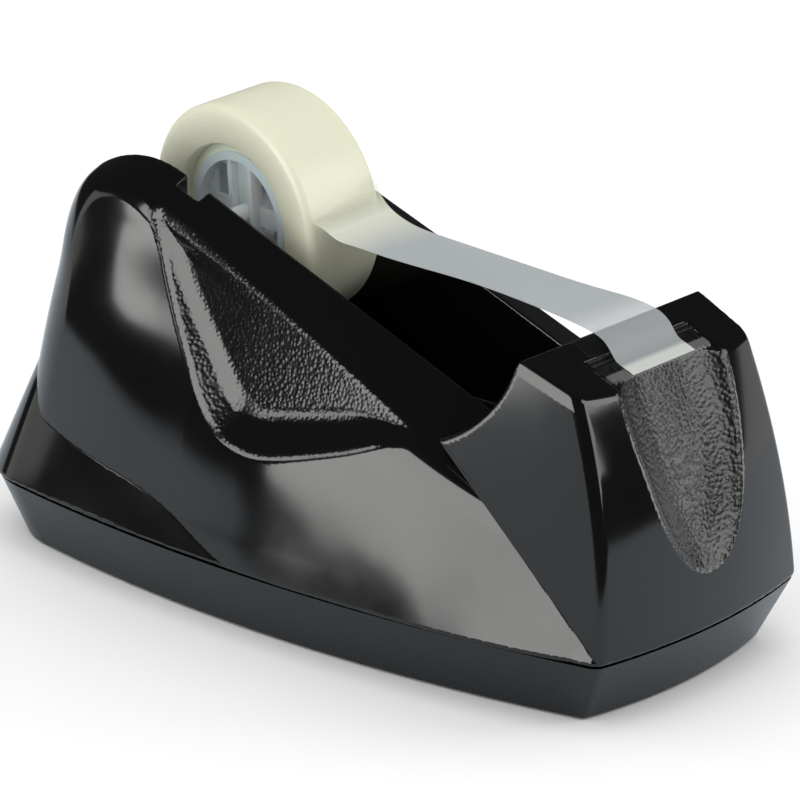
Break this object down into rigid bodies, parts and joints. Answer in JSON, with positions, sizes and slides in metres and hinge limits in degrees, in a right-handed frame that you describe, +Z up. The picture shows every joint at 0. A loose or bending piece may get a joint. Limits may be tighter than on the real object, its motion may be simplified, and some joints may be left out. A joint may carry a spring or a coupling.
{
  "type": "tape dispenser",
  "caption": "Weighted desktop tape dispenser: a glossy moulded housing on a base tray, an open-topped trough with a lift-out spool of tape, and a serrated steel cutter.",
  "frame": {"origin": "middle of the footprint, on the table", "axes": "+X towards the cutter, +Z up, +Y to the left seen from behind"},
  "size_m": [0.1644, 0.081, 0.0941],
  "materials": {
    "housing_gloss": "high-gloss black, leather grain in the flank leaves and the scoop",
    "tray_satin": "satin black",
    "ballast_iron": "rough cast",
    "holder_black": "satin black",
    "blade_steel": "punched sheet",
    "screw_steel": "zinc plated",
    "foot_rubber": "matt",
    "tape_film": "translucent matt film",
    "hub_clear": "clear moulded",
    "core_plastic": "off-white",
    "tape_wound": "cream wound film, faint layer lines on its sides"
  },
  "bodies": {
    "base": {"upper_housing": "housing_gloss", "base_tray": "tray_satin", "ballast": "ballast_iron", "blade_holder": "holder_black", "cutter_blade": "blade_steel", "housing_screws": "screw_steel", "ballast_screws": "screw_steel", "holder_screws": "screw_steel", "foot_rear_right": "foot_rubber", "foot_rear_left": "foot_rubber", "foot_front_right": "foot_rubber", "foot_front_left": "foot_rubber"},
    "tape_tail": {"tape_strip": "tape_film"},
    "spool": {"hub_near": "hub_clear", "hub_far": "hub_clear", "tape_core": "core_plastic", "tape_roll": "tape_wound"}
  },
  "joints": [
    {"name": "spool_lift", "type": "slide", "parent": "base", "child": "tape_tail", "axis": [0, 0, 1], "range_m": [0, 0.06]},
    {"name": "spool_spin", "type": "hinge", "parent": "tape_tail", "child": "spool", "pos_m": [-0.0311, 0.0021, 0.0705], "axis": [0.1284, 0.9883, 0.0819], "continuous": true}
  ]
}
